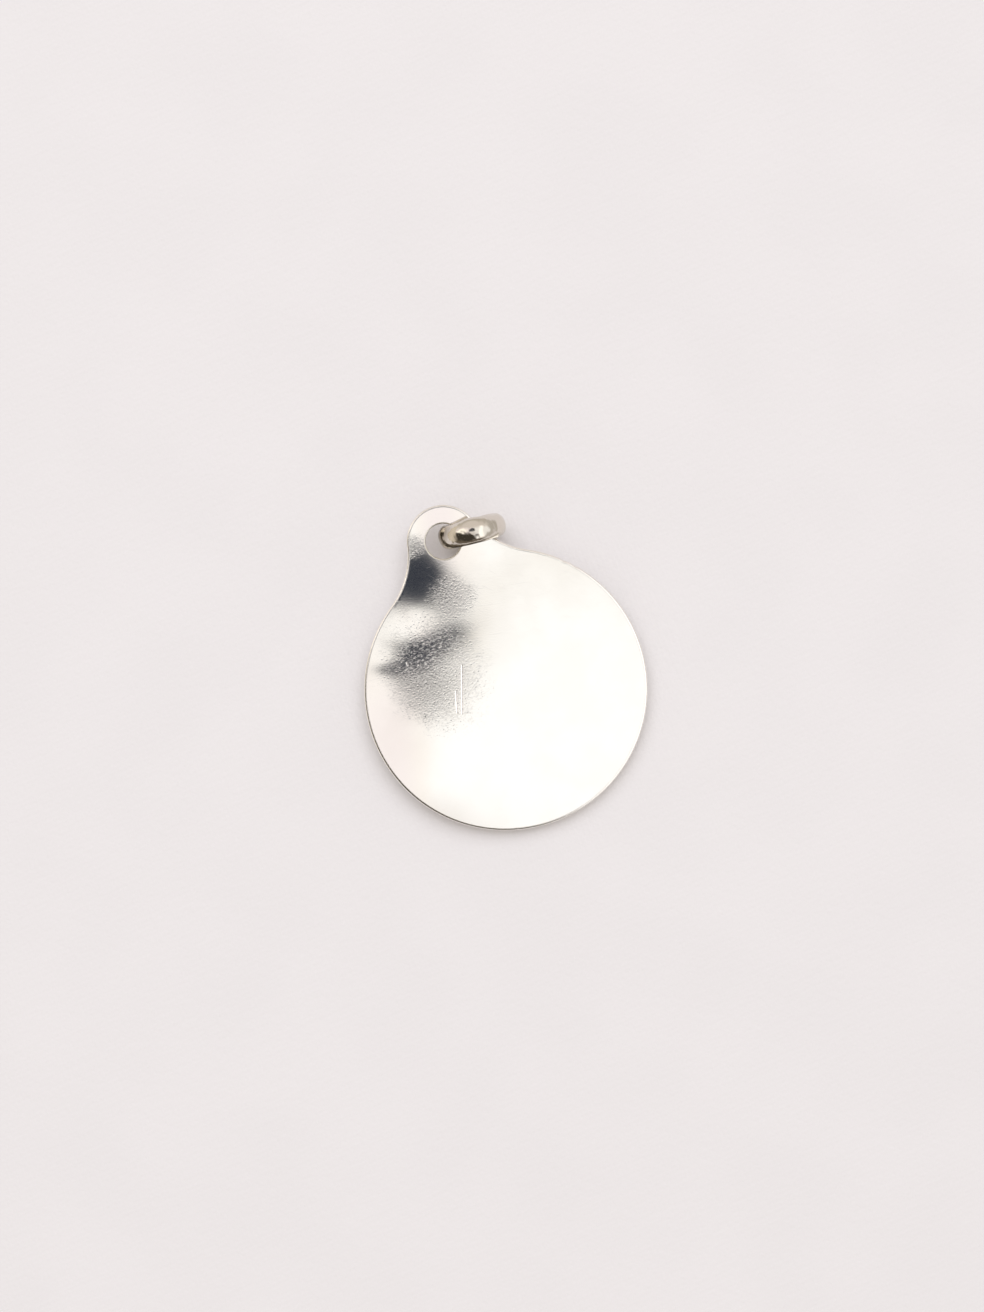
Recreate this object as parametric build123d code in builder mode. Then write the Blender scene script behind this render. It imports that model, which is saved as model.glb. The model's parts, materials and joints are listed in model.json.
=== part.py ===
"""Medallion pendant: a thin round medal with an eyelet ear, and the jump ring through it.

The medal lies plain back up. The ring stands on edge under the ear and props it, so the
medal slopes down to its far rim. Millimetres, +Z up, the ear towards +Y. The origin is on
the surface it lies on, under the middle of the pendant's box.
"""

import os
from math import asin, atan2, cos, degrees, hypot, pi, radians, sin, sqrt

from build123d import *

# Medal, stamped in one piece with its ear
disc_diameter = 20.0
medal_thickness = 0.8
edge_round = 0.12  # softened edges of the face, the underside and the hole
ear_limb = 1.33  # metal left between the hole and the ear's outline
ear_bite = 1.24  # how far the ear's circle reaches into the disc
neck_radius = 6.1  # hollow curve from the disc to the ear, on both sides

# Jump ring, of oval wire that is wider along the ring's axis
wire_depth = 1.2
wire_width = 1.7
hole_room = 0.8  # ear hole's diameter over the wire's width
ring_room = 0.94  # ring's opening over the diagonal of the ear's limb

# How the ring hangs on the limb
seat_angle = 49.0  # degrees up from the ring's bottom to the limb's corner that sits in it
seat_gap = 0.1  # play between that corner and the ring
neck_gap = 0.23  # from the shoulder of the ring's outer strand to the curve of the neck
ring_offset = 0.2  # ring's middle plane from the hole's centre, away from the disc

disc_radius = disc_diameter / 2
hole_radius = (wire_width + hole_room) / 2
ear_radius = hole_radius + ear_limb
ear_y = disc_radius + ear_radius - ear_bite

ring_opening_radius = (hypot(ear_limb, medal_thickness) + ring_room) / 2
ring_mid_radius = ring_opening_radius + wire_depth / 2

# Centre of the neck's curve, which touches both circles from outside
disc_to_neck = disc_radius + neck_radius
ear_to_neck = ear_radius + neck_radius
neck_y = (ear_y**2 + disc_to_neck**2 - ear_to_neck**2) / (2 * ear_y)
neck_x = sqrt(disc_to_neck**2 - neck_y**2)
neck_angle_at_disc = degrees(atan2(neck_y, neck_x))
neck_angle_at_ear = degrees(atan2(neck_y - ear_y, neck_x))

# The ring's centre from the hole's: outward in the ring's plane, and up from the underside
seat_radius = ring_opening_radius - edge_round - seat_gap
ring_reach = hole_radius + edge_round + seat_radius * sin(radians(seat_angle))
ring_height = edge_round + seat_radius * cos(radians(seat_angle))

# The ring swings down about the hole until its outer strand almost meets the neck
strand_out = ring_reach + sqrt(ring_mid_radius**2 - ring_height**2)
shoulder_out = strand_out - wire_depth / 2 * cos(pi / 4)
shoulder_down = wire_width / 2 * sin(pi / 4) - ring_offset
neck_down = ear_y - neck_y + sqrt(neck_radius**2 - (neck_x - shoulder_out) ** 2)
ring_swing = asin((neck_down - shoulder_down - neck_gap) / shoulder_out)

slope_direction = Vector(sin(ring_swing), cos(ring_swing), 0)
outward_direction = Vector(cos(ring_swing), -sin(ring_swing), 0)
ring_place = (
    Vector(0, ear_y, ring_height)
    + outward_direction * ring_reach
    + slope_direction * ring_offset
)


def rest_tilt():
    """Slope, in degrees, that puts the far rim and the foot of the ring on one level."""
    run = disc_radius - edge_round + ring_place.dot(slope_direction)
    tilt = 0.0
    for _ in range(20):
        foot = hypot(wire_depth / 2 * cos(tilt), wire_width / 2 * sin(tilt))
        drop = (ring_mid_radius - ring_height + edge_round) * cos(tilt) + foot - edge_round
        tilt = asin(drop / run)
    return degrees(tilt)


def reach(direction, centre_y, radius):
    """How far a round part of the medal reaches in a direction, from the sloping frame's origin."""
    lean = direction.dot(slope.z_dir)
    middle = direction.dot(slope.from_local_coords(Vector(0, centre_y, 0)))
    edge = max(lean * edge_round, lean * (medal_thickness - edge_round))
    return middle + (radius - edge_round) * sqrt(1 - lean**2) + edge + edge_round


tilt_axis = Axis((0, 0, 0), slope_direction.cross(Vector(0, 0, 1)))
tilt = rest_tilt()
slope = Plane(
    origin=(0, 0, 0),
    x_dir=Vector(1, 0, 0).rotate(tilt_axis, tilt),
    z_dir=Vector(0, 0, 1).rotate(tilt_axis, tilt),
)
disc_right = reach(Vector(1, 0, 0), 0, disc_radius)
disc_left = reach(Vector(-1, 0, 0), 0, disc_radius)
disc_front = reach(Vector(0, -1, 0), 0, disc_radius)
disc_down = reach(Vector(0, 0, -1), 0, disc_radius)
ear_back = reach(Vector(0, 1, 0), ear_y, ear_radius)
medal_plane = Plane(
    origin=((disc_left - disc_right) / 2, (disc_front - ear_back) / 2, disc_down),
    x_dir=slope.x_dir,
    z_dir=slope.z_dir,
)

# Medal: half the outline from the far rim to the top of the ear, mirrored, then the hole
with BuildPart() as medallion:
    with BuildSketch(medal_plane):
        with BuildLine():
            CenterArc((0, 0), disc_radius, -90, 90 + neck_angle_at_disc)
            CenterArc(
                (neck_x, neck_y),
                neck_radius,
                180 + neck_angle_at_disc,
                neck_angle_at_ear - neck_angle_at_disc,
            )
            CenterArc((0, ear_y), ear_radius, neck_angle_at_ear, 90 - neck_angle_at_ear)
            mirror(about=Plane.YZ)
        make_face()
        with Locations((0, ear_y)):
            Circle(hole_radius, mode=Mode.SUBTRACT)
    extrude(amount=medal_thickness)
    stack = medallion.faces().sort_by(Axis(medal_plane.origin, medal_plane.z_dir))
    fillet(stack[0].edges() + stack[-1].edges(), edge_round)
medallion.part.label = "medallion"

# Jump ring: the oval section turned about the ring's axis, which follows the slope
ring_centre = medal_plane.from_local_coords(ring_place)
ring_axis_direction = slope_direction.rotate(tilt_axis, tilt)
with BuildPart() as jump_ring:
    with BuildSketch(Plane(ring_centre, x_dir=outward_direction, z_dir=medal_plane.z_dir)):
        with Locations((ring_mid_radius, 0)):
            Ellipse(wire_depth / 2, wire_width / 2)
    revolve(axis=Axis(ring_centre, ring_axis_direction))
jump_ring.part.label = "jump_ring"

os.makedirs("parts", exist_ok=True)
export_step(medallion.part, "parts/medallion.step")
export_step(jump_ring.part, "parts/jump_ring.step")
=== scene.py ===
"""Medallion pendant in Blender: the gently dented silver medal and the oval-wire ring that props it.

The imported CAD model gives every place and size. The medal's own axes run across the disc,
towards the ear and out of its plain face, and sizes in them are millimetres.
"""

import json
import logging
import math
from dataclasses import dataclass
from enum import Enum
from functools import partial, reduce
from typing import Any

import bpy
import numpy as np
from mathutils import Matrix, Vector, noise
from mathutils.geometry import delaunay_2d_cdt


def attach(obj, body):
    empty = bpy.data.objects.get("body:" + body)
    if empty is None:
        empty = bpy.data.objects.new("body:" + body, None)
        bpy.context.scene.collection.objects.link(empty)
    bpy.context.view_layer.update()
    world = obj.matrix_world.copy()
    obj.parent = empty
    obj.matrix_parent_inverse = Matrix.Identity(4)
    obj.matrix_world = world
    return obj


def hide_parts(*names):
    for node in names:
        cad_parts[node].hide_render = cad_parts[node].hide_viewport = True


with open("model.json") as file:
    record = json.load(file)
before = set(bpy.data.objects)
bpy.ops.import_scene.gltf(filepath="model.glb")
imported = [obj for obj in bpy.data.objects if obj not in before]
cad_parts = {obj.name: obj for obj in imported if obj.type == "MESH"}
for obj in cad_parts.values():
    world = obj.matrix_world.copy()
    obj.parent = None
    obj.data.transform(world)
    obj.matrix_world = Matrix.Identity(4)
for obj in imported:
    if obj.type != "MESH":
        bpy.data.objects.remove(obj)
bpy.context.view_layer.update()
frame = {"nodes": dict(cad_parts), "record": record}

log = logging.getLogger("medallion")
MM = 0.001
CHAIN_LOOP = frame["record"]["mounts"][0]
Z_AXIS = Vector((0.0, 0.0, 1.0))
PICTURE_RIGHT = Vector((0.9210, -0.3897, 0.0))
PICTURE_UP = Vector((0.3897, 0.9210, 0.0))
PICTURE_TURN = -22.9

Socket = bpy.types.NodeSocket
Triple = tuple[float, float, float]
Loops = list[np.ndarray]
Faces = list[tuple[int, ...]]


class Tone(Enum):
    """Colours of the room that the silver mirrors, as linear light."""

    PINK_WALL = (1.00, 0.930, 0.925)
    CREAM_WALL = (1.06, 1.015, 0.965)
    LOWER_BEIGE = (0.820, 0.760, 0.715)
    UPPER_CREAM = (0.975, 0.935, 0.868)
    WHITE_WALL = (1.12, 1.12, 1.11)
    RIGHT_WINDOW = (1.60, 1.58, 1.54)
    LEFT_WINDOW = (1.70, 1.62, 1.48)
    FAR_WALL = (0.82, 0.76, 0.71)
    DARK_CEILING = (0.015, 0.021, 0.036)
    DARK_NEAR_SIDE = (0.050, 0.043, 0.032)
    BROWN_CORNER = (0.160, 0.130, 0.100)
    SUNNY_CORNER = (0.800, 0.720, 0.600)
    GREY_CORNER = (0.560, 0.530, 0.490)
    BEIGE_CORNER = (0.600, 0.560, 0.500)
    BACKDROP = (0.88, 0.85, 0.85)
    SOFT_FILL = (0.55, 0.525, 0.50)

    @property
    def rgba(self) -> tuple[float, float, float, float]:
        """The colour with a full alpha, as node sockets take it."""
        return (*self.value, 1.0)


class Way(Enum):
    """Ways along which the room changes. The near side is below the picture, a little left."""

    RIGHT = "right"
    UP = "up"
    NEAR_SIDE = "near side"


class Side(Enum):
    """The medal's surfaces, by the number of their material on the mesh."""

    BROAD = 0
    EDGE = 1
    HOLE = 2


class NodeSheet:
    """Puts nodes into one tree and links them."""

    def __init__(self, tree: bpy.types.NodeTree) -> None:
        """Keeps the tree of a material, a world or a group."""
        self.tree = tree

    def feed(self, socket: Socket, value: Any) -> None:
        """Links an output to a socket, or sets the socket's own value.

        Args:
            socket: The input that is fed.
            value: An output socket, a number, a vector or a colour, or None to leave it.
        """
        if isinstance(value, bpy.types.NodeSocket):
            self.tree.links.new(value, socket)
        elif value is not None:
            socket.default_value = value

    def add(self, kind: str, inputs: dict[str, Any] | None = None, **settings: Any) -> bpy.types.Node:
        """Adds a node.

        Args:
            kind: The node's type name without its ShaderNode prefix.
            inputs: Values or links for its inputs, by their names.
            **settings: The node's own properties.

        Returns:
            The node.
        """
        node = self.tree.nodes.new("ShaderNode" + kind)
        for name, value in settings.items():
            setattr(node, name, value)
        for name, value in (inputs or {}).items():
            self.feed(node.inputs[name], value)
        return node

    def math(self, operation: str, first: Any, second: Any = None, clamp: bool = False) -> Socket:
        """Adds a Math node.

        Args:
            operation: The Math node's operation.
            first: Its first number.
            second: Its second number, where it takes one.
            clamp: Whether the result stays from 0 to 1.

        Returns:
            The result.
        """
        node = self.add("Math", operation=operation, use_clamp=clamp)
        self.feed(node.inputs[0], first)
        self.feed(node.inputs[1], second)
        return node.outputs[0]

    def product(self, *values: Any) -> Any:
        """Multiplies values, from the first to the last."""
        return reduce(partial(self.math, "MULTIPLY"), values)

    def total(self, *values: Any) -> Any:
        """Adds values up, from the first to the last."""
        return reduce(partial(self.math, "ADD"), values)

    def vector(self, operation: str, first: Any, second: Any = None, scale: Any = None) -> Socket:
        """Adds a Vector Math node.

        Args:
            operation: The node's operation.
            first: Its first vector.
            second: Its second vector, where it takes one.
            scale: Its scale, where it takes one.

        Returns:
            The resulting vector, or the number for a dot product or a length.
        """
        node = self.add("VectorMath", operation=operation)
        self.feed(node.inputs[0], first)
        self.feed(node.inputs[1], second)
        if scale is not None:
            self.feed(node.inputs["Scale"], scale)
        return node.outputs["Value" if operation in ("DOT_PRODUCT", "LENGTH") else "Vector"]

    def fade(self, value: Any, low: float, high: float, start: float = 0.0, end: float = 1.0) -> Socket:
        """Adds a soft step of a value: start at and below low, and end at and above high."""
        inputs = {"Value": value, "From Min": low, "From Max": high, "To Min": start, "To Max": end}
        return self.add("MapRange", inputs, interpolation_type="SMOOTHSTEP").outputs["Result"]

    def fall(self, value: Any, low: float, high: float) -> Socket:
        """Adds a soft step from 1 at low down to 0 at high."""
        return self.fade(value, low, high, 1.0, 0.0)

    def mix(self, factor: Any, first: Any, second: Any) -> Socket:
        """Adds a colour mix.

        Args:
            factor: 0 gives the first colour and 1 the second.
            first: The first colour.
            second: The second colour.

        Returns:
            The mixed colour.
        """
        node = self.add("Mix", data_type="RGBA", clamp_factor=True)
        self.feed(node.inputs[0], factor)
        self.feed(node.inputs[6], first)
        self.feed(node.inputs[7], second)
        return node.outputs[2]

    def noise(self, place: Any, scale: Any, detail: float, roughness: float = 0.5) -> Socket:
        """Adds a noise texture and gives its value, from 0 to 1."""
        inputs = {"Vector": place, "Scale": scale, "Detail": detail, "Roughness": roughness}
        return self.add("TexNoise", inputs).outputs["Fac"]

    def cells(self, place: Any, scale: float) -> tuple[Any, Any]:
        """Adds flat cells and gives their outputs by name, and three random numbers of each cell."""
        cells = self.add("TexVoronoi", {"Vector": place, "Scale": scale}, voronoi_dimensions="2D").outputs
        return cells, self.add("SeparateColor", {"Color": cells["Color"]}).outputs


class EffectGroup:
    """A node group with named inputs and outputs, built once and placed in several materials."""

    name = ""
    inputs: dict[str, tuple[str, Any]] = {}
    outputs: dict[str, str] = {}

    def build(self) -> bpy.types.NodeTree:
        """Makes the group, or finds it where it is made already.

        Returns:
            The group's tree.
        """
        found = bpy.data.node_groups.get(self.name)
        if found is not None:
            return found
        tree = bpy.data.node_groups.new(self.name, "ShaderNodeTree")
        for name, (kind, value) in self.inputs.items():
            socket = tree.interface.new_socket(name, in_out="INPUT", socket_type="NodeSocket" + kind)
            if value is not None:
                socket.default_value = value
        for name, kind in self.outputs.items():
            tree.interface.new_socket(name, in_out="OUTPUT", socket_type="NodeSocket" + kind)
        sheet = NodeSheet(tree)
        source = tree.nodes.new("NodeGroupInput").outputs
        target = tree.nodes.new("NodeGroupOutput").inputs
        for name, value in self.wire(sheet, source).items():
            sheet.feed(target[name], value)
        return tree

    def wire(self, sheet: NodeSheet, source: Any) -> dict[str, Socket]:
        """Wires the inside of the group.

        Args:
            sheet: The group's sheet.
            source: The group's inputs, by name.

        Returns:
            What feeds each of the group's outputs.
        """
        raise NotImplementedError

    def place(self, sheet: NodeSheet, **values: Any) -> Any:
        """Places the group in a material.

        Args:
            sheet: The material's sheet.
            **values: Its inputs, with _ for a space in their names.

        Returns:
            The placed node's outputs, by name.
        """
        node = sheet.tree.nodes.new("ShaderNodeGroup")
        node.node_tree = self.build()
        for name, value in values.items():
            sheet.feed(node.inputs[name.replace("_", " ")], value)
        return node.outputs


class ShortScratches(EffectGroup):
    """Short, slightly bowed scratches, one to a cell, each turned its own way.

    A line keeps its full depth up to the first share of its half width or length, and ends at
    the second.
    """

    name = "short scratches"
    inputs = {
        "Place": ("Vector", None),
        "Cell": ("Float", 1.0),
        "Half Width": ("Float", 0.02),
        "Share": ("Float", 0.5),
        "Shift": ("Vector", None),
    }
    outputs = {"Line": "Float"}
    strongest_bow = 0.35
    line_edge = (0.2, 1.0)
    line_end = (0.22, 0.42)

    def wire(self, sheet: NodeSheet, source: Any) -> dict[str, Socket]:
        """Wires the scratches.

        Args:
            sheet: The group's sheet.
            source: The group's inputs.

        Returns:
            The line mask.
        """
        moved = sheet.vector("ADD", source["Place"], source["Shift"])
        scaled = sheet.vector("SCALE", moved, scale=sheet.math("DIVIDE", 1.0, source["Cell"]))
        cells, chances = sheet.cells(scaled, scale=1.0)
        offset = sheet.vector("SUBTRACT", scaled, cells["Position"])
        angle = sheet.product(chances[0], math.tau)
        turned = sheet.add("VectorRotate", {"Vector": offset, "Angle": angle}, rotation_type="Z_AXIS")
        local = sheet.add("SeparateXYZ", {"Vector": turned.outputs["Vector"]}).outputs
        bow = sheet.product(sheet.math("SUBTRACT", chances[2], 0.5), self.strongest_bow)
        along = local["X"]
        bent = sheet.product(along, along, bow)
        across = sheet.math("ABSOLUTE", sheet.total(local["Y"], bent))
        across = sheet.product(across, source["Cell"])
        line = sheet.fall(sheet.math("DIVIDE", across, source["Half Width"]), *self.line_edge)
        ends = sheet.fall(sheet.math("ABSOLUTE", along), *self.line_end)
        drawn = sheet.math("LESS_THAN", chances[1], source["Share"])
        return {"Line": sheet.product(line, ends, drawn)}


class LongScratch(EffectGroup):
    """One long straight scratch between two places on the face."""

    name = "long scratch"
    inputs = {
        "Place": ("Vector", None),
        "Start": ("Vector", None),
        "End": ("Vector", None),
        "Half Width": ("Float", 0.03),
    }
    outputs = {"Line": "Float"}

    def wire(self, sheet: NodeSheet, source: Any) -> dict[str, Socket]:
        """Wires the scratch.

        Args:
            sheet: The group's sheet.
            source: The group's inputs.

        Returns:
            The line mask.
        """
        level = (1.0, 1.0, 0.0)
        run = sheet.vector("SUBTRACT", source["End"], source["Start"])
        offset = sheet.vector("SUBTRACT", source["Place"], source["Start"])
        offset = sheet.vector("MULTIPLY", offset, level)
        reached = sheet.vector("DOT_PRODUCT", offset, run)
        share = sheet.math("DIVIDE", reached, sheet.vector("DOT_PRODUCT", run, run), clamp=True)
        nearest = sheet.vector("SCALE", run, scale=share)
        away = sheet.vector("LENGTH", sheet.vector("SUBTRACT", offset, nearest))
        width = sheet.math("DIVIDE", away, source["Half Width"])
        return {"Line": sheet.fall(width, *ShortScratches.line_edge)}


class HandlingHaze(EffectGroup):
    """The uneven dulling that fingers and cloth leave on polished silver."""

    name = "handling haze"
    inputs = {"Place": ("Vector", None), "Patch Size": ("Float", 3.0)}
    outputs = {"Haze": "Float", "Grain": "Float", "Pits": "Float", "Specks": "Float"}
    smallest_pit = 0.10
    largest_pit = 0.26
    pitted_share = 0.55

    def wire(self, sheet: NodeSheet, source: Any) -> dict[str, Socket]:
        """Wires the haze.

        Args:
            sheet: The group's sheet.
            source: The group's inputs.

        Returns:
            The haze in soft patches, a fine grain, small round pits, and dull specks.
        """
        place = source["Place"]
        scale = sheet.math("DIVIDE", 1.0, source["Patch Size"])
        cloud = sheet.noise(place, scale, detail=4.0, roughness=0.55)
        specks = sheet.noise(place, scale=5.2, detail=2.0, roughness=0.7)
        cells, chances = sheet.cells(place, scale=3.2)
        width = sheet.fade(chances[0], 0.2, 1.0, self.smallest_pit, self.largest_pit)
        pit = sheet.fall(sheet.math("DIVIDE", cells["Distance"], width), 0.0, 1.0)
        pitted = sheet.math("LESS_THAN", chances[1], self.pitted_share)
        return {
            "Haze": sheet.fade(cloud, 0.35, 0.68),
            "Grain": sheet.noise(place, scale=8.0, detail=1.5, roughness=0.6),
            "Pits": sheet.product(pit, pitted),
            "Specks": sheet.fade(specks, 0.50, 0.66),
        }


class SoftPatch(EffectGroup):
    """An oval patch with a ragged, soft edge."""

    name = "soft patch"
    inputs = {
        "Place": ("Vector", None),
        "Middle": ("Vector", None),
        "Reach": ("Vector", (1.0, 1.0, 1.0)),
        "Raggedness": ("Float", 0.3),
    }
    outputs = {"Patch": "Float"}

    def wire(self, sheet: NodeSheet, source: Any) -> dict[str, Socket]:
        """Wires the patch.

        Args:
            sheet: The group's sheet.
            source: The group's inputs.

        Returns:
            The patch, 1 in its middle and 0 outside.
        """
        offset = sheet.vector("SUBTRACT", source["Place"], source["Middle"])
        oval = sheet.vector("LENGTH", sheet.vector("DIVIDE", offset, source["Reach"]))
        cloud = sheet.noise(source["Place"], scale=1.1, detail=4.0, roughness=0.6)
        ragged = sheet.product(sheet.math("SUBTRACT", cloud, 0.5), source["Raggedness"])
        return {"Patch": sheet.fall(sheet.total(oval, ragged), 0.35, 1.25)}


@dataclass(frozen=True)
class OvalPatch:
    """A place on the metal that is scuffed, or darkened with painted shade: its middle, and its reach each
    way.
    """

    middle: Triple
    reach: Triple
    raggedness: float = 0.9

    def mask(self, sheet: NodeSheet, place: Socket) -> Socket:
        """Adds the patch's mask to a material."""
        values = {"Middle": self.middle, "Reach": self.reach, "Raggedness": self.raggedness}
        return SoftPatch().place(sheet, Place=place, **values)["Patch"]


@dataclass(frozen=True)
class ScratchLayer:
    """A layer of short scratches: the size of its cells, and the share of them that has one."""

    cell: float
    half_width: float
    share: float
    shift: Triple

    def line(self, sheet: NodeSheet, place: Socket) -> Socket:
        """Adds the layer's lines to a material."""
        values = {"Cell": self.cell, "Half_Width": self.half_width, "Share": self.share, "Shift": self.shift}
        return ShortScratches().place(sheet, Place=place, **values)["Line"]


@dataclass(frozen=True)
class SingleScratch:
    """A longer scratch that is placed by itself."""

    start: Triple
    end: Triple
    depth: float
    half_width: float = 0.08

    def line(self, sheet: NodeSheet, place: Socket) -> Socket:
        """Adds the scratch's line to a material."""
        values = {"Start": self.start, "End": self.end, "Half_Width": self.half_width}
        return LongScratch().place(sheet, Place=place, **values)["Line"]


def new_material(name: str) -> tuple[bpy.types.Material, NodeSheet, bpy.types.Node]:
    """Starts a material.

    Args:
        name: Its name.

    Returns:
        The material, its sheet and its shader.
    """
    made = bpy.data.materials.new(name)
    made.use_nodes = True
    return made, NodeSheet(made.node_tree), made.node_tree.nodes["Principled BSDF"]


@dataclass(frozen=True)
class SilverFinish:
    """Polished silver that has been worn and handled.

    Lengths are millimetres. The polish is the roughness of the clean metal; haze, scuffed and
    specks are what handling, scuffing and the specks in the scuffs add to it. The painted shade
    patches darken the colour towards a dark brown: painted shade, where the metal lies in shade.
    """

    name: str
    silver: Triple = (0.96, 0.94, 0.91)
    tarnish: Triple = (0.80, 0.74, 0.66)
    tarnish_share: float = 0.10
    # Painted shade: the dark brown that the painted shade patches darken the silver towards.
    painted_shade: Triple = (0.24, 0.19, 0.13)
    polish: float = 0.06
    haze: float = 0.02
    haze_patch: float = 3.2
    scuffed: float = 0.04
    specks: float = 0.18
    pit_depth: float = 0.0
    grain_depth: float = 0.0028
    grain_outside: float = 0.12
    grain_in_scuffs: float = 0.9
    scratch_depth: float = 0.0010
    scratches_outside: float = 0.12
    scratches_in_scuffs: float = 0.5
    scratch_layers: tuple[ScratchLayer, ...] = (
        ScratchLayer(2.6, 0.022, 0.55, (0.3, 0.1, 0.0)),
        ScratchLayer(1.3, 0.016, 0.60, (5.1, 2.7, 0.0)),
        ScratchLayer(0.7, 0.014, 0.50, (9.7, 4.9, 0.0)),
    )
    single_scratches: tuple[SingleScratch, ...] = ()
    scuffs: tuple[OvalPatch, ...] = ()
    painted_shade_patches: tuple[OvalPatch, ...] = ()

    def normal(self, sheet: NodeSheet, place: Socket, haze: Any, scuff: Any) -> Socket:
        """Adds the fine relief of scratches, grain and pits.

        Args:
            sheet: The material's sheet.
            place: The place on the metal.
            haze: The handling haze's outputs.
            scuff: The mask of the scuffed places.

        Returns:
            The normal.
        """
        lines = sheet.total(*(layer.line(sheet, place) for layer in self.scratch_layers))
        strength = sheet.fade(scuff, 0.0, 1.0, self.scratches_outside, self.scratches_in_scuffs)
        groove = sheet.product(lines, strength, -self.scratch_depth)
        for scratch in self.single_scratches:
            groove = sheet.total(groove, sheet.product(scratch.line(sheet, place), -scratch.depth))
        strength = sheet.fade(scuff, 0.0, 1.0, self.grain_outside, self.grain_in_scuffs)
        grain = sheet.product(sheet.math("SUBTRACT", haze["Grain"], 0.5), self.grain_depth, strength)
        pits = sheet.product(haze["Pits"], scuff, -self.pit_depth)
        height = sheet.total(groove, grain, pits)
        return sheet.add("Bump", {"Height": height, "Distance": MM, "Strength": 1.0}).outputs["Normal"]

    def material(self, origin: Vector) -> bpy.types.Material:
        """Makes the material.

        Args:
            origin: The place in the frame that its scuffs, scratches and stains are measured from.

        Returns:
            The material.
        """
        made, sheet, shader = new_material(self.name)
        place = sheet.vector("SUBTRACT", sheet.add("TexCoord").outputs["Object"], tuple(origin))
        place = sheet.vector("SCALE", place, scale=1.0 / MM)
        haze = HandlingHaze().place(sheet, Place=place, Patch_Size=self.haze_patch)
        scuff: Any = 0.0
        for spot in self.scuffs:
            scuff = sheet.math("MAXIMUM", spot.mask(sheet, place), scuff)
        worn = sheet.total(sheet.product(haze["Specks"], self.specks), self.scuffed)
        hazy = sheet.product(haze["Haze"], self.haze)
        dull = sheet.product(haze["Haze"], self.tarnish_share)
        colour = sheet.mix(dull, (*self.silver, 1.0), (*self.tarnish, 1.0))
        # Painted shade: each patch darkens the silver towards a dark brown where it lies in shade.
        for spot in self.painted_shade_patches:
            colour = sheet.mix(spot.mask(sheet, place), colour, (*self.painted_shade, 1.0))
        sheet.feed(shader.inputs["Base Color"], colour)
        sheet.feed(shader.inputs["Roughness"], sheet.total(hazy, self.polish, sheet.product(scuff, worn)))
        sheet.feed(shader.inputs["Normal"], self.normal(sheet, place, haze, scuff))
        shader.inputs["Metallic"].default_value = 1.0
        return made


@dataclass(frozen=True)
class ClothFinish:
    """Pale, finely woven cloth, with a faint warm painted glow that lifts and warms its shadows. Lengths are
    millimetres.
    """

    name: str = "pale cloth"
    colour: Triple = (0.900, 0.870, 0.880)
    shaded: float = 0.985
    thread: float = 0.36
    weave_depth: float = 0.004
    fuzz_depth: float = 0.03
    # Painted light: a faint warm emission that lifts and warms the shadows on the cloth.
    painted_glow: Triple = (1.0, 0.90, 0.75)
    painted_glow_strength: float = 0.05
    band_length: float = 0.314

    def weave(self, sheet: NodeSheet, place: Socket) -> Socket:
        """Adds the crossing threads.

        Args:
            sheet: The material's sheet.
            place: The place on the cloth.

        Returns:
            The threads' height, from 0 to 1.
        """
        threads = []
        scale = self.band_length / self.thread
        for direction in ("X", "Y"):
            wave = sheet.add(
                "TexWave", {"Vector": place, "Scale": scale, "Distortion": 0.8, "Detail": 1.0},
                wave_type="BANDS", bands_direction=direction,
            )
            threads.append(wave.outputs["Fac"])
        return sheet.math("MAXIMUM", *threads)

    def material(self) -> bpy.types.Material:
        """Makes the material.

        Returns:
            The material.
        """
        made, sheet, shader = new_material(self.name)
        place = sheet.vector("SCALE", sheet.add("TexCoord").outputs["Object"], scale=1.0 / MM)
        weave = sheet.product(self.weave(sheet, place), self.weave_depth)
        fuzz = sheet.noise(place, scale=1.8, detail=3.0, roughness=0.6)
        fuzz = sheet.product(fuzz, self.fuzz_depth)
        height = sheet.total(weave, fuzz)
        bump = sheet.add("Bump", {"Height": height, "Distance": MM, "Strength": 1.0})
        shade = sheet.fade(sheet.noise(place, scale=0.12, detail=1.0), 0.3, 0.7)
        darker = tuple(c * self.shaded for c in self.colour)
        sheet.feed(shader.inputs["Base Color"], sheet.mix(shade, (*darker, 1.0), (*self.colour, 1.0)))
        sheet.feed(shader.inputs["Normal"], bump.outputs["Normal"])
        shader.inputs["Roughness"].default_value = 0.95
        shader.inputs["Specular IOR Level"].default_value = 0.15
        # Painted light: the cloth glows faintly warm though it is no lamp, which lifts and warms its shadows.
        shader.inputs["Emission Color"].default_value = (*self.painted_glow, 1.0)
        shader.inputs["Emission Strength"].default_value = self.painted_glow_strength
        return made


def mesh_piece(name: str, points: np.ndarray, faces: Faces, material: bpy.types.Material) -> bpy.types.Object:
    """Makes a smooth mesh object whose place is in its mesh.

    Args:
        name: The piece's name.
        points: Its points in the frame, in metres.
        faces: Its faces.
        material: Its material.

    Returns:
        The object.
    """
    mesh = bpy.data.meshes.new(name)
    mesh.from_pydata(points.tolist(), [], faces)
    mesh.validate()
    mesh.shade_smooth()
    mesh.materials.append(material)
    piece = bpy.data.objects.new(name, mesh)
    bpy.context.scene.collection.objects.link(piece)
    return piece


def bridge(first: int, second: int, count: int) -> Faces:
    """Faces between two closed loops of count points, which start at the given indices."""
    steps = [(k, (k + 1) % count) for k in range(count)]
    return [(first + a, first + b, second + b, second + a) for a, b in steps]


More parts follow.
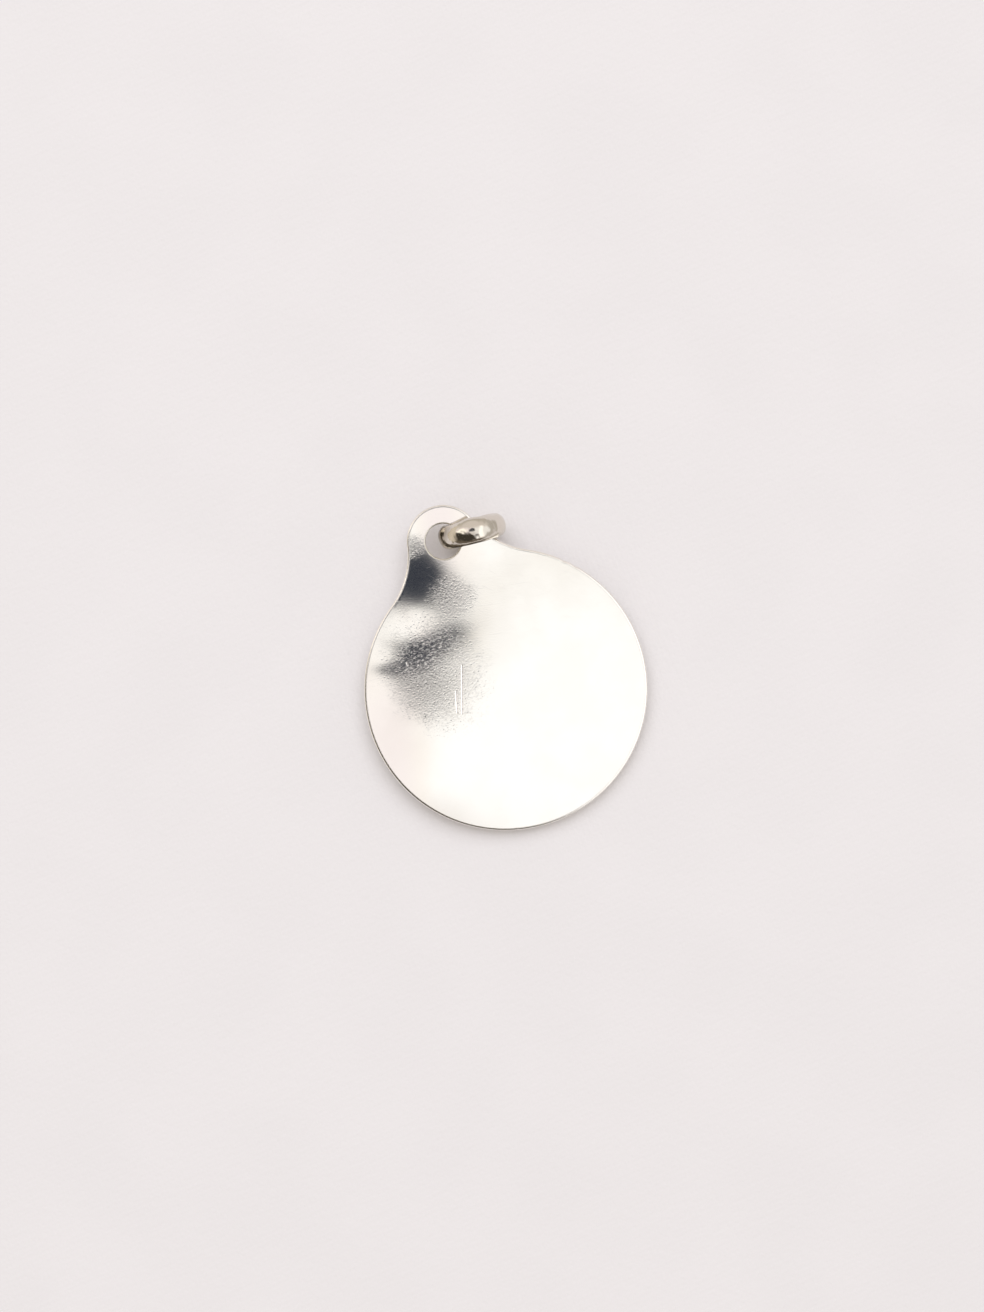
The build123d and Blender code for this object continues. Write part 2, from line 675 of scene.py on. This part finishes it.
@dataclass(frozen=True)
class MedalAxes:
    """The medal's own axes and main sizes.

    The origin is under the disc's middle on the medal's underside, in metres. The three
    directions are unit vectors of the frame, and the sizes are millimetres.
    """

    origin: Vector
    across: Vector
    towards_ear: Vector
    out: Vector
    disc_radius: float
    thickness: float
    ear_top: float

    @classmethod
    def measured(cls) -> "MedalAxes":
        """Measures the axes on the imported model.

        Returns:
            The axes, with the disc's radius, the sheet's thickness and the ear's top.
        """
        slope = Vector(CHAIN_LOOP["axis"])
        out = (Z_AXIS - slope * slope.z).normalized()
        turn = Z_AXIS.rotation_difference(out)
        across = turn @ Vector((1, 0, 0))
        towards_ear = turn @ Vector((0, 1, 0))
        points = np.array([v.co for v in frame["nodes"]["medallion"].data.vertices])
        x, y, z = (points @ np.array(axis) for axis in (across, towards_ear, out))
        radius = (x.max() - x.min()) / 2
        middle = (x.max() + x.min()) / 2
        origin = across * middle + towards_ear * (y.min() + radius) + out * z.min()
        thickness = z.max() - z.min()
        ear_top = y.max() - y.min() - radius
        return cls(origin, across, towards_ear, out, radius / MM, thickness / MM, ear_top / MM)

    def world(self, points: np.ndarray) -> np.ndarray:
        """Turns points from the medal's millimetres into the frame's metres."""
        turn = np.array([self.across, self.towards_ear, self.out])
        return points * MM @ turn + np.array(self.origin)


@dataclass(frozen=True)
class Dent:
    """A soft oval swell, or a hollow where its height is below zero, in millimetres and degrees."""

    x: float
    y: float
    height: float
    reach_x: float
    reach_y: float
    turn: float = PICTURE_TURN

    def lift(self, x: np.ndarray, y: np.ndarray) -> np.ndarray:
        """How far the sheet is lifted.

        Args:
            x: Places across the disc.
            y: Places towards the ear.

        Returns:
            The lift at each place.
        """
        c, s = math.cos(math.radians(self.turn)), math.sin(math.radians(self.turn))
        a = ((x - self.x) * c + (y - self.y) * s) / self.reach_x
        b = ((y - self.y) * c - (x - self.x) * s) / self.reach_y
        return self.height * np.exp(-0.5 * (a * a + b * b))


@dataclass(frozen=True)
class RimNick:
    """A small knock in the disc's rim, at an angle in degrees from the across axis."""

    angle: float
    width: float
    depth: float

    def bite(self, angles: np.ndarray, radius: float) -> np.ndarray:
        """How far the rim of a disc is knocked in at angles in radians."""
        away = (angles - math.radians(self.angle) + math.pi) % math.tau - math.pi
        return self.depth * np.exp(-0.5 * (away * radius / self.width) ** 2)


@dataclass(frozen=True)
class Arc:
    """An arc of the medal's outline. Its bulge is 1, or -1 where the metal is hollowed."""

    middle: tuple[float, float]
    radius: float
    start: float
    end: float
    bulge: int
    fewest: int = 8

    def directions(self, spacing: float) -> np.ndarray:
        """Directions from its middle to even points along it, without its last point.

        Args:
            spacing: Distance between neighbouring points.

        Returns:
            The directions, one a row.
        """
        count = max(self.fewest, round(abs(self.end - self.start) * self.radius / spacing))
        angles = self.start + (self.end - self.start) * np.arange(count) / count
        return np.stack([np.cos(angles), np.sin(angles)], 1)


@dataclass
class Medal:
    """The round medal with its ear, a thin sheet that has taken soft dents in wear."""

    axes: MedalAxes
    ear_radius: float = 2.58
    hole_radius: float = 1.25
    neck_radius: float = 6.1
    edge_round: float = 0.15
    hole_round: float = 0.07
    corner_steps: int = 6
    face_margin: float = 0.04
    spacing: float = 0.14
    back_spacing: float = 0.3
    hole_fineness: float = 1.6
    finish: SilverFinish = SilverFinish(
        "worn silver",
        pit_depth=0.004,
        scuffs=(
            OvalPatch((-4.0, 2.8, 0.8), (3.6, 4.6, 9.0)),
            OvalPatch((-1.0, 7.4, 0.8), (1.8, 1.6, 9.0)),
            OvalPatch((-2.3, 11.7, 0.8), (1.1, 0.8, 9.0)),
        ),
        single_scratches=(
            SingleScratch((-2.2, 2.7, 0.0), (-3.5, -0.4, 0.0), 0.010),
            SingleScratch((-3.3, 1.2, 0.0), (-3.8, -0.2, 0.0), 0.008),
            SingleScratch((-5.7, 4.4, 0.0), (-5.7, 4.2, 0.0), 0.008),
        ),
    )
    edge_finish: SilverFinish = SilverFinish(
        "worn silver edge",
        silver=(0.98, 0.955, 0.92),
        tarnish=(0.82, 0.76, 0.66),
        polish=0.24,
        scratch_depth=0.0,
        grain_depth=0.0,
    )
    hole_finish: SilverFinish = SilverFinish(
        "warm silver in the hole",
        silver=(0.98, 0.94, 0.85),
        tarnish=(0.84, 0.76, 0.60),
        polish=0.34,
        scratch_depth=0.0,
        grain_depth=0.0,
    )
    dents: tuple[Dent, ...] = (
        # The low swell along the left side and the long hollow over the neck.
        Dent(-7.0, -3.1, 0.250, 3.0, 6.6),
        Dent(-1.4, 13.1, -0.140, 2.2, 7.0),
        # The swell left of the neck and the small hollow at the foot of the ear.
        Dent(-3.6, 8.1, 0.036, 1.3, 1.7),
        Dent(-1.2, 12.8, -0.030, 1.4, 1.6),
        # The slanting hollow at the upper left, its tail on either side, and the rise below it.
        Dent(-4.5, 5.8, -0.029, 1.2, 1.0, turn=12.1),
        Dent(-7.2, 5.1, -0.008, 0.9, 0.5),
        Dent(-2.0, 5.5, -0.004, 1.2, 0.7, turn=7.1),
        Dent(-2.9, 4.2, 0.010, 1.2, 1.0, turn=-2.9),
        # The swell beyond the right of the ear.
        Dent(2.3, 14.4, 0.100, 3.0, 2.4),
    )
    nicks: tuple[RimNick, ...] = (RimNick(43.3, 0.14, 0.05), RimNick(38.2, 0.12, 0.04))

    @property
    def ear_y(self) -> float:
        """Distance of the ear's middle from the disc's."""
        return self.axes.ear_top - self.ear_radius

    @property
    def neck_middle(self) -> tuple[float, float]:
        """Middle of the right neck curve, which touches the disc and the ear."""
        to_disc = self.axes.disc_radius + self.neck_radius
        to_ear = self.ear_radius + self.neck_radius
        y = (self.ear_y**2 + to_disc**2 - to_ear**2) / (2 * self.ear_y)
        return math.sqrt(to_disc**2 - y**2), y

    def outline(self) -> tuple[Arc, ...]:
        """The outline's arcs, counter-clockwise from the foot of the disc.

        Returns:
            Half of the disc, a neck curve, the ear, the other neck curve and the rest of the disc.
        """
        neck_x, neck_y = self.neck_middle
        at_disc = math.atan2(neck_y, neck_x)
        at_ear = math.atan2(neck_y - self.ear_y, neck_x)
        half = math.pi
        return (
            Arc((0.0, 0.0), self.axes.disc_radius, -half / 2, at_disc, 1),
            Arc((neck_x, neck_y), self.neck_radius, at_disc + half, at_ear + half, -1),
            Arc((0.0, self.ear_y), self.ear_radius, at_ear, half - at_ear, 1),
            Arc((-neck_x, neck_y), self.neck_radius, -at_ear, -at_disc, -1),
            Arc((0.0, 0.0), self.axes.disc_radius, half - at_disc, 1.5 * half, 1),
        )

    def rim_loop(self, inset: float) -> np.ndarray:
        """The outline drawn in by a distance, with the rim's nicks.

        Args:
            inset: How far it is drawn in.

        Returns:
            The loop's points in the medal's plane.
        """
        rows = []
        for arc in self.outline():
            directions = arc.directions(self.spacing)
            drawn_in = np.full(len(directions), inset)
            if arc.middle == (0.0, 0.0):
                angles = np.arctan2(directions[:, 1], directions[:, 0])
                for nick in self.nicks:
                    drawn_in += nick.bite(angles, self.axes.disc_radius)
            rows.append(np.array(arc.middle) + directions * (arc.radius - arc.bulge * drawn_in)[:, None])
        return np.concatenate(rows)

    def hole_loop(self, inset: float) -> np.ndarray:
        """The hole's edge, widened by a distance.

        Args:
            inset: How far into the metal.

        Returns:
            The loop's points in the medal's plane.
        """
        count = round(math.tau * self.hole_radius / self.spacing * self.hole_fineness)
        angles = -math.tau * np.arange(count) / count
        radius = self.hole_radius + inset
        return np.stack([radius * np.cos(angles), self.ear_y + radius * np.sin(angles)], 1)

    def depth_inside(self, points: np.ndarray, insets: tuple[float, float]) -> np.ndarray:
        """Distance to the nearest of the drawn-in edges, above zero inside the metal.

        Args:
            points: Points of the medal's plane.
            insets: How far the outline and the hole's edge are drawn into the metal.

        Returns:
            The distance at each point.
        """
        x, y = points[:, 0], points[:, 1]
        neck_x, neck_y = self.neck_middle
        side = np.abs(x)
        disc = self.axes.disc_radius - np.hypot(side, y)
        ear = self.ear_radius - np.hypot(side, y - self.ear_y)
        neck = np.hypot(side - neck_x, y - neck_y) - self.neck_radius
        above_disc = neck_x * y - neck_y * side > 0
        below_ear = neck_x * (y - self.ear_y) - (neck_y - self.ear_y) * side < 0
        outer = np.where(above_disc & below_ear, neck, np.where(above_disc, ear, disc))
        hole = np.hypot(x, y - self.ear_y) - self.hole_radius
        return np.minimum(outer - insets[0], hole - insets[1])

    def lift(self, points: np.ndarray) -> np.ndarray:
        """How far the dents lift the sheet at points of the medal's plane."""
        return sum(dent.lift(points[:, 0], points[:, 1]) for dent in self.dents)

    def grid(self, insets: tuple[float, float], spacing: float) -> np.ndarray:
        """Even points inside the metal, in rows that are shifted by turns.

        Args:
            insets: How far the outline and the hole's edge are drawn into the metal.
            spacing: Distance between neighbouring points.

        Returns:
            The points, which keep a little away from both edges.
        """
        row = spacing * math.sqrt(3) / 2
        reach = self.axes.disc_radius + spacing
        ys = np.arange(-reach, self.axes.ear_top + spacing, row)
        xs = np.arange(-reach, reach, spacing)
        grid_x, grid_y = np.meshgrid(xs, ys)
        grid_x = grid_x + (np.arange(len(ys)) % 2)[:, None] * spacing / 2
        points = np.stack([grid_x.ravel(), grid_y.ravel()], 1)
        clear_of_edges = 0.6 * spacing
        return points[self.depth_inside(points, insets) > clear_of_edges]

    def fill(self, loops: Loops, insets: tuple[float, float], spacing: float) -> tuple[np.ndarray, Faces]:
        """Fills the medal's face with even triangles.

        Args:
            loops: The outline's loop and the hole's.
            insets: How far each is drawn into the metal.
            spacing: Distance between neighbouring points.

        Returns:
            The points, the loops' own first, and the triangles.
        """
        points = np.concatenate([*loops, self.grid(insets, spacing)])
        edges, start = [], 0
        for loop in loops:
            edges += [(start + k, start + (k + 1) % len(loop)) for k in range(len(loop))]
            start += len(loop)
        merge_distance, slack = 1e-7, 0.01
        found = delaunay_2d_cdt([Vector(p) for p in points], edges, [], 0, merge_distance)
        made = np.array([tuple(p) for p in found[0]])
        triangles = np.array([f for f in found[2] if len(f) == 3])
        inside = self.depth_inside(made[triangles].mean(1), insets) > -slack
        return made, [tuple(int(i) for i in t) for t in triangles[inside]]

    def edge_profile(self, rounding: float) -> list[tuple[float, float]]:
        """An edge's section from the face over the rounding and down to the underside.

        Args:
            rounding: The radius of its corners.

        Returns:
            How far each loop is drawn in, and its height.
        """
        r, t = rounding, self.axes.thickness
        turns = [math.radians(90 * k / self.corner_steps) for k in range(self.corner_steps + 1)]
        upper = [(r - r * math.sin(a), t - r + r * math.cos(a)) for a in turns]
        lower = [(inset, t - height) for inset, height in reversed(upper)]
        on_face = r + self.face_margin
        return [(on_face, t), *upper, (0.0, t * 0.5), *lower, (on_face, 0.0)]

    def mesh(self) -> tuple[np.ndarray, Faces, list[Side]]:
        """Builds the whole medal.

        Returns:
            Its points in the medal's axes, its faces, and the surface that each face is on.
        """
        levels = list(zip(self.edge_profile(self.edge_round), self.edge_profile(self.hole_round)))
        insets = levels[0][0][0], levels[0][1][0]
        rows: list[np.ndarray] = []
        faces: Faces = []
        starts: list[tuple[int, int]] = []
        total = 0
        for k, ((rim_in, rim_height), (hole_in, hole_height)) in enumerate(levels):
            loops = [self.rim_loop(rim_in), self.hole_loop(hole_in)]
            rim, hole = len(loops[0]), len(loops[1])
            if k == 0:
                flat, triangles = self.fill(loops, insets, self.spacing)
                heights = np.full(len(flat), rim_height)
                faces += [tuple(total + i for i in t) for t in triangles]
            elif k == len(levels) - 1:
                flat, triangles = self.fill(loops, insets, self.back_spacing)
                heights = np.full(len(flat), rim_height)
                faces += [tuple(total + i for i in t[::-1]) for t in triangles]
            else:
                flat = np.concatenate(loops)
                heights = np.repeat([rim_height, hole_height], [rim, hole])
            rows.append(np.column_stack([flat, heights + self.lift(flat)]))
            starts.append((total, total + rim))
            total += len(flat)
        sides = [Side.BROAD] * len(faces)
        for (rim_a, hole_a), (rim_b, hole_b) in zip(starts, starts[1:]):
            faces += [f[::-1] for f in bridge(rim_a, rim_b, rim)]
            faces += [f[::-1] for f in bridge(hole_a, hole_b, hole)]
            sides += [Side.EDGE] * rim + [Side.HOLE] * hole
        return np.concatenate(rows), faces, sides

    def build(self) -> bpy.types.Object:
        """Builds the medal in place of its CAD node.

        Returns:
            The piece.
        """
        points, faces, sides = self.mesh()
        origin = self.axes.origin
        piece = mesh_piece("medal", self.axes.world(points), faces, self.finish.material(origin))
        for finish in (self.edge_finish, self.hole_finish):
            piece.data.materials.append(finish.material(origin))
        piece.data.polygons.foreach_set("material_index", [side.value for side in sides])
        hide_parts("medallion")
        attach(piece, "root")
        return piece


@dataclass(frozen=True)
class RingAxes:
    """The ring's middle and axis in the frame, and its main sizes in millimetres."""

    middle: Vector
    axis: Vector
    radius: float
    half_depth: float
    half_width: float

    @classmethod
    def measured(cls) -> "RingAxes":
        """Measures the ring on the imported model.

        Returns:
            The axes, with the radius at the wire's middle and the wire's half depth and width.
        """
        middle, axis = Vector(CHAIN_LOOP["pos_m"]), Vector(CHAIN_LOOP["axis"]).normalized()
        points = np.array([v.co for v in frame["nodes"]["jump_ring"].data.vertices]) - np.array(middle)
        along = points @ np.array(axis)
        away = np.linalg.norm(points - np.outer(along, axis), axis=1)
        inner, outer = CHAIN_LOOP["dims"]["r_mm"], away.max() / MM
        half_width = CHAIN_LOOP["dims"]["length_mm"] / 2
        return cls(middle, axis, (inner + outer) / 2, (outer - inner) / 2, half_width)


@dataclass(frozen=True)
class Wave:
    """A slow unevenness round the ring, as a share of the wire's size."""

    depth: float
    count: int
    shift: float

    def at(self, angles: np.ndarray) -> np.ndarray:
        """The wave round the ring, from -1 to 1."""
        return np.sin(self.count * angles + self.shift)


@dataclass
class JumpRing:
    """The ring of oval wire through the ear, on its edge under it."""

    axes: RingAxes
    around: int = 280
    section: int = 56
    bending: Wave = Wave(0.010, 3, 0.7)
    drawing: Wave = Wave(0.006, 7, 2.1)
    swell: float = 0.20
    swell_angle: float = 1.6
    swell_reach: float = 0.55
    knocks: float = 0.022
    broad_knocks: float = 1.9
    small_knocks: float = 4.3
    finish: SilverFinish = SilverFinish(
        "ring silver",
        silver=(0.74, 0.69, 0.62),
        tarnish=(0.50, 0.43, 0.34),
        polish=0.14,
        haze=0.06,
        scuffed=0.0,
        scratch_depth=0.0014,
        grain_depth=0.0012,
        # Painted shade at the ring's left end, down in the ear's hole, where the wire mirrors the shaded
        # hole.
        painted_shade_patches=(OvalPatch((-2.2, 0.9, 0.4), (1.0, 1.0, 2.2), raggedness=0.6),),
    )

    def wear(self, points: np.ndarray) -> np.ndarray:
        """Small knocks that the wire took in bending and in wear.

        Args:
            points: Places on the wire, in millimetres.

        Returns:
            How far each lies below the wire's smooth surface, as a length below zero.
        """
        rows = []
        for place in map(Vector, points.reshape(-1, 3)):
            broad = self.knocks * (noise.noise(place * self.broad_knocks) - 0.5)
            small = 0.5 * self.knocks * (noise.noise(place * self.small_knocks) - 0.5)
            rows.append(broad + small)
        return np.array(rows).reshape(points.shape[:-1])

    def mesh(self) -> tuple[np.ndarray, Faces]:
        """Builds the ring, a little uneven as drawn and bent wire is.

        Returns:
            Its points in the frame, and its faces.
        """
        axes = self.axes
        side = axes.axis.cross(Z_AXIS).normalized()
        top = side.cross(axes.axis).normalized()
        angles = math.tau * np.arange(self.around) / self.around
        turns = math.tau * np.arange(self.section) / self.section
        a, t = np.meshgrid(angles, turns, indexing="ij")
        bent = self.bending.depth * (1 + self.bending.at(a))
        drawn = self.drawing.depth * (1 + self.drawing.at(a) * np.cos(t))
        uneven = 1 - bent - drawn
        radial = axes.radius + axes.half_depth * uneven * np.cos(t)
        near = np.exp(-(((a - self.swell_angle) / self.swell_reach) ** 2))
        swell = self.swell * near * np.clip(np.sin(t), 0.0, 1.0) ** 2
        axial = axes.half_width * uneven * np.sin(t) + swell
        spoke = np.cos(a)[..., None] * np.array(side) + np.sin(a)[..., None] * np.array(top)
        outward = spoke * np.cos(t)[..., None] + np.sin(t)[..., None] * np.array(axes.axis)
        points = spoke * radial[..., None] + axial[..., None] * np.array(axes.axis)
        points = points + outward * self.wear(points)[..., None]
        points = points * MM + np.array(axes.middle)
        faces: Faces = []
        for k in range(self.around):
            after = (k + 1) % self.around
            faces += bridge(k * self.section, after * self.section, self.section)
        return points.reshape(-1, 3), faces

    def build(self) -> bpy.types.Object:
        """Builds the ring in place of its CAD node.

        Returns:
            The piece.
        """
        points, faces = self.mesh()
        piece = mesh_piece("ring", points, faces, self.finish.material(self.axes.middle))
        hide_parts("jump_ring")
        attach(piece, "root")
        return piece


@dataclass(frozen=True)
class SoftEdge:
    """A soft edge in the room, from low to high. Its zone lies beyond it, or before one that falls."""

    way: Way
    low: float
    high: float
    falls: bool = False


@dataclass(frozen=True)
class Zone:
    """A part of the room in one tone, inside all its soft edges."""

    tone: Tone
    edges: tuple[SoftEdge, ...]

    def mask(self, sheet: NodeSheet, ways: dict[Way, Socket]) -> Socket:
        """Adds the zone's mask.

        Args:
            sheet: The world's sheet.
            ways: How far a direction leans each way.

        Returns:
            The mask, 1 inside the zone.
        """
        steps = []
        for edge in self.edges:
            step = sheet.fall if edge.falls else sheet.fade
            steps.append(step(ways[edge.way], edge.low, edge.high))
        return sheet.product(*steps)


@dataclass(frozen=True)
class Room:
    """The room that the silver mirrors: its walls and windows, and darker corners low down.

    A later zone is painted over the ones before it.
    """

    wall: Tone = Tone.PINK_WALL
    wall_zones: tuple[Zone, ...] = (
        Zone(Tone.CREAM_WALL, (SoftEdge(Way.RIGHT, -0.10, 0.00),)),
        Zone(Tone.WHITE_WALL, (SoftEdge(Way.RIGHT, -0.03, 0.06),)),
        Zone(Tone.UPPER_CREAM, (
            SoftEdge(Way.UP, -0.140, -0.115),
            SoftEdge(Way.RIGHT, 0.00, 0.05),
            SoftEdge(Way.RIGHT, 0.10, 0.20, falls=True),
        )),
        Zone(Tone.LOWER_BEIGE, (
            SoftEdge(Way.UP, -0.25, -0.19, falls=True),
            SoftEdge(Way.RIGHT, 0.10, 0.20, falls=True),
        )),
        Zone(Tone.FAR_WALL, (SoftEdge(Way.UP, 0.28, 0.45),)),
        Zone(Tone.RIGHT_WINDOW, (
            SoftEdge(Way.RIGHT, 0.25, 0.40),
            SoftEdge(Way.RIGHT, 0.58, 0.72, falls=True),
            SoftEdge(Way.UP, 0.40, 0.55, falls=True),
        )),
        Zone(Tone.LEFT_WINDOW, (
            SoftEdge(Way.RIGHT, -0.50, -0.36, falls=True),
            SoftEdge(Way.UP, 0.20, 0.30, falls=True),
        )),
        Zone(Tone.DARK_NEAR_SIDE, (
            SoftEdge(Way.NEAR_SIDE, 0.25, 0.33),
            SoftEdge(Way.RIGHT, 0.20, 0.40, falls=True),
        )),
        Zone(Tone.DARK_CEILING, (
            SoftEdge(Way.RIGHT, -0.30, -0.22),
            SoftEdge(Way.RIGHT, 0.050, 0.130, falls=True),
            SoftEdge(Way.UP, -0.120, -0.085),
            SoftEdge(Way.UP, 0.20, 0.30, falls=True),
        )),
    )
    corner: Tone = Tone.BROWN_CORNER
    corner_zones: tuple[Zone, ...] = (
        Zone(Tone.BEIGE_CORNER, (SoftEdge(Way.UP, -0.3, 0.3),)),
        Zone(Tone.SUNNY_CORNER, (SoftEdge(Way.RIGHT, -0.9, -0.6, falls=True),)),
        Zone(Tone.GREY_CORNER, (SoftEdge(Way.RIGHT, 0.4, 0.7),)),
    )
    corner_height: tuple[float, float] = (0.34, 0.56)
    near_side: tuple[float, float] = (-0.5, -0.86)

    def build(self) -> None:
        """Makes the room's soft light from every direction.

        Mirrored rays see the room. Other rays see a plain soft fill, and the camera a plain backdrop.
        """
        world = bpy.data.worlds.new("soft room")
        world.use_nodes = True
        bpy.context.scene.world = world
        sheet = NodeSheet(world.node_tree)
        direction = sheet.add("TexCoord").outputs["Generated"]
        right = sheet.vector("DOT_PRODUCT", direction, tuple(PICTURE_RIGHT))
        up = sheet.vector("DOT_PRODUCT", direction, tuple(PICTURE_UP))
        near_side = sheet.total(sheet.product(right, self.near_side[0]), sheet.product(up, self.near_side[1]))
        ways = {Way.RIGHT: right, Way.UP: up, Way.NEAR_SIDE: near_side}
        light = self.wall.rgba
        for zone in self.wall_zones:
            light = sheet.mix(zone.mask(sheet, ways), light, zone.tone.rgba)
        low = self.corner.rgba
        for zone in self.corner_zones:
            low = sheet.mix(zone.mask(sheet, ways), low, zone.tone.rgba)
        height = sheet.vector("DOT_PRODUCT", direction, tuple(Z_AXIS))
        light = sheet.mix(sheet.fall(height, *self.corner_height), light, low)
        ray = sheet.add("LightPath").outputs
        light = sheet.mix(ray["Is Glossy Ray"], Tone.SOFT_FILL.rgba, light)
        light = sheet.mix(ray["Is Camera Ray"], light, Tone.BACKDROP.rgba)
        background = world.node_tree.nodes["Background"]
        sheet.feed(background.inputs["Color"], light)
        background.inputs["Strength"].default_value = 1.0


@dataclass
class Studio:
    """The pale cloth, the soft room and lamp that light the silver, and the camera above it.

    Lengths are metres, and the film's height is millimetres. The lamp's way is how far it leans
    to the picture's right, to its top and upwards.
    """

    floor_reach: float = 2.5
    cloth: ClothFinish = ClothFinish()
    soft_room: Room = Room()
    lamp_size: float = 1.7
    lamp_energy: float = 12.9
    lamp_colour: Triple = (0.96, 0.985, 1.04)
    lamp_way: Triple = (-0.05, 0.54, 0.84)
    lamp_distance: float = 1.5
    camera_height: float = 0.260
    camera_over: tuple[float, float] = (0.00001, 0.00058)
    picture_height: float = 0.0924
    film_height: float = 36.0

    def floor(self) -> None:
        """Lays the cloth."""
        reach = self.floor_reach
        signs = ((-1, -1), (1, -1), (1, 1), (-1, 1))
        corners = np.array([(reach * x, reach * y, 0.0) for x, y in signs])
        mesh_piece("floor", corners, [(0, 1, 2, 3)], self.cloth.material())

    def lamp(self) -> None:
        """Hangs a very wide soft lamp beyond the top of the picture."""
        data = bpy.data.lights.new("soft lamp", "AREA")
        data.shape = "DISK"
        data.size = self.lamp_size
        data.energy = self.lamp_energy
        data.color = self.lamp_colour
        lamp = bpy.data.objects.new("soft lamp", data)
        right, up, above = self.lamp_way
        place = PICTURE_RIGHT * right + PICTURE_UP * up + Z_AXIS * above
        lamp.location = place * self.lamp_distance
        lamp.visible_glossy = False
        lamp.rotation_euler = (-lamp.location).to_track_quat("-Z", "Y").to_euler()
        bpy.context.scene.collection.objects.link(lamp)

    def camera(self, plane: float) -> None:
        """Sets the camera straight above, turned so that the ear points up and left.

        Args:
            plane: Height of the face that the picture's scale holds at.
        """
        data = bpy.data.cameras.new("camera")
        data.sensor_width = self.film_height
        data.lens = data.sensor_width * (self.camera_height - plane) / self.picture_height
        data.clip_start = 0.01
        data.clip_end = 10.0
        camera = bpy.data.objects.new("camera", data)
        turn = Matrix((PICTURE_RIGHT, PICTURE_UP, Z_AXIS)).transposed()
        camera.matrix_world = Matrix.Translation((*self.camera_over, self.camera_height)) @ turn.to_4x4()
        bpy.context.scene.collection.objects.link(camera)
        bpy.context.scene.camera = camera

    def build(self, plane: float) -> None:
        """Builds the camera, the room, the lamp and the cloth, in that order.

        Args:
            plane: Height of the face that the picture's scale holds at.
        """
        self.camera(plane)
        self.soft_room.build()
        self.lamp()
        self.floor()


def main() -> None:
    """Builds the studio, the medal and the ring, in that order."""
    logging.basicConfig(level=logging.INFO, format="%(name)s: %(message)s")
    bpy.context.scene.view_settings.view_transform = "Standard"
    axes = MedalAxes.measured()
    Studio().build(axes.origin.z + axes.thickness * MM)
    log.info("studio ready, disc radius %.3f mm, thickness %.3f mm", axes.disc_radius, axes.thickness)
    for part in (Medal(axes), JumpRing(RingAxes.measured())):
        piece = part.build()
        log.info("%s: %d points, %d faces", piece.name, len(piece.data.vertices), len(piece.data.polygons))


if __name__ == "__main__":
    main()
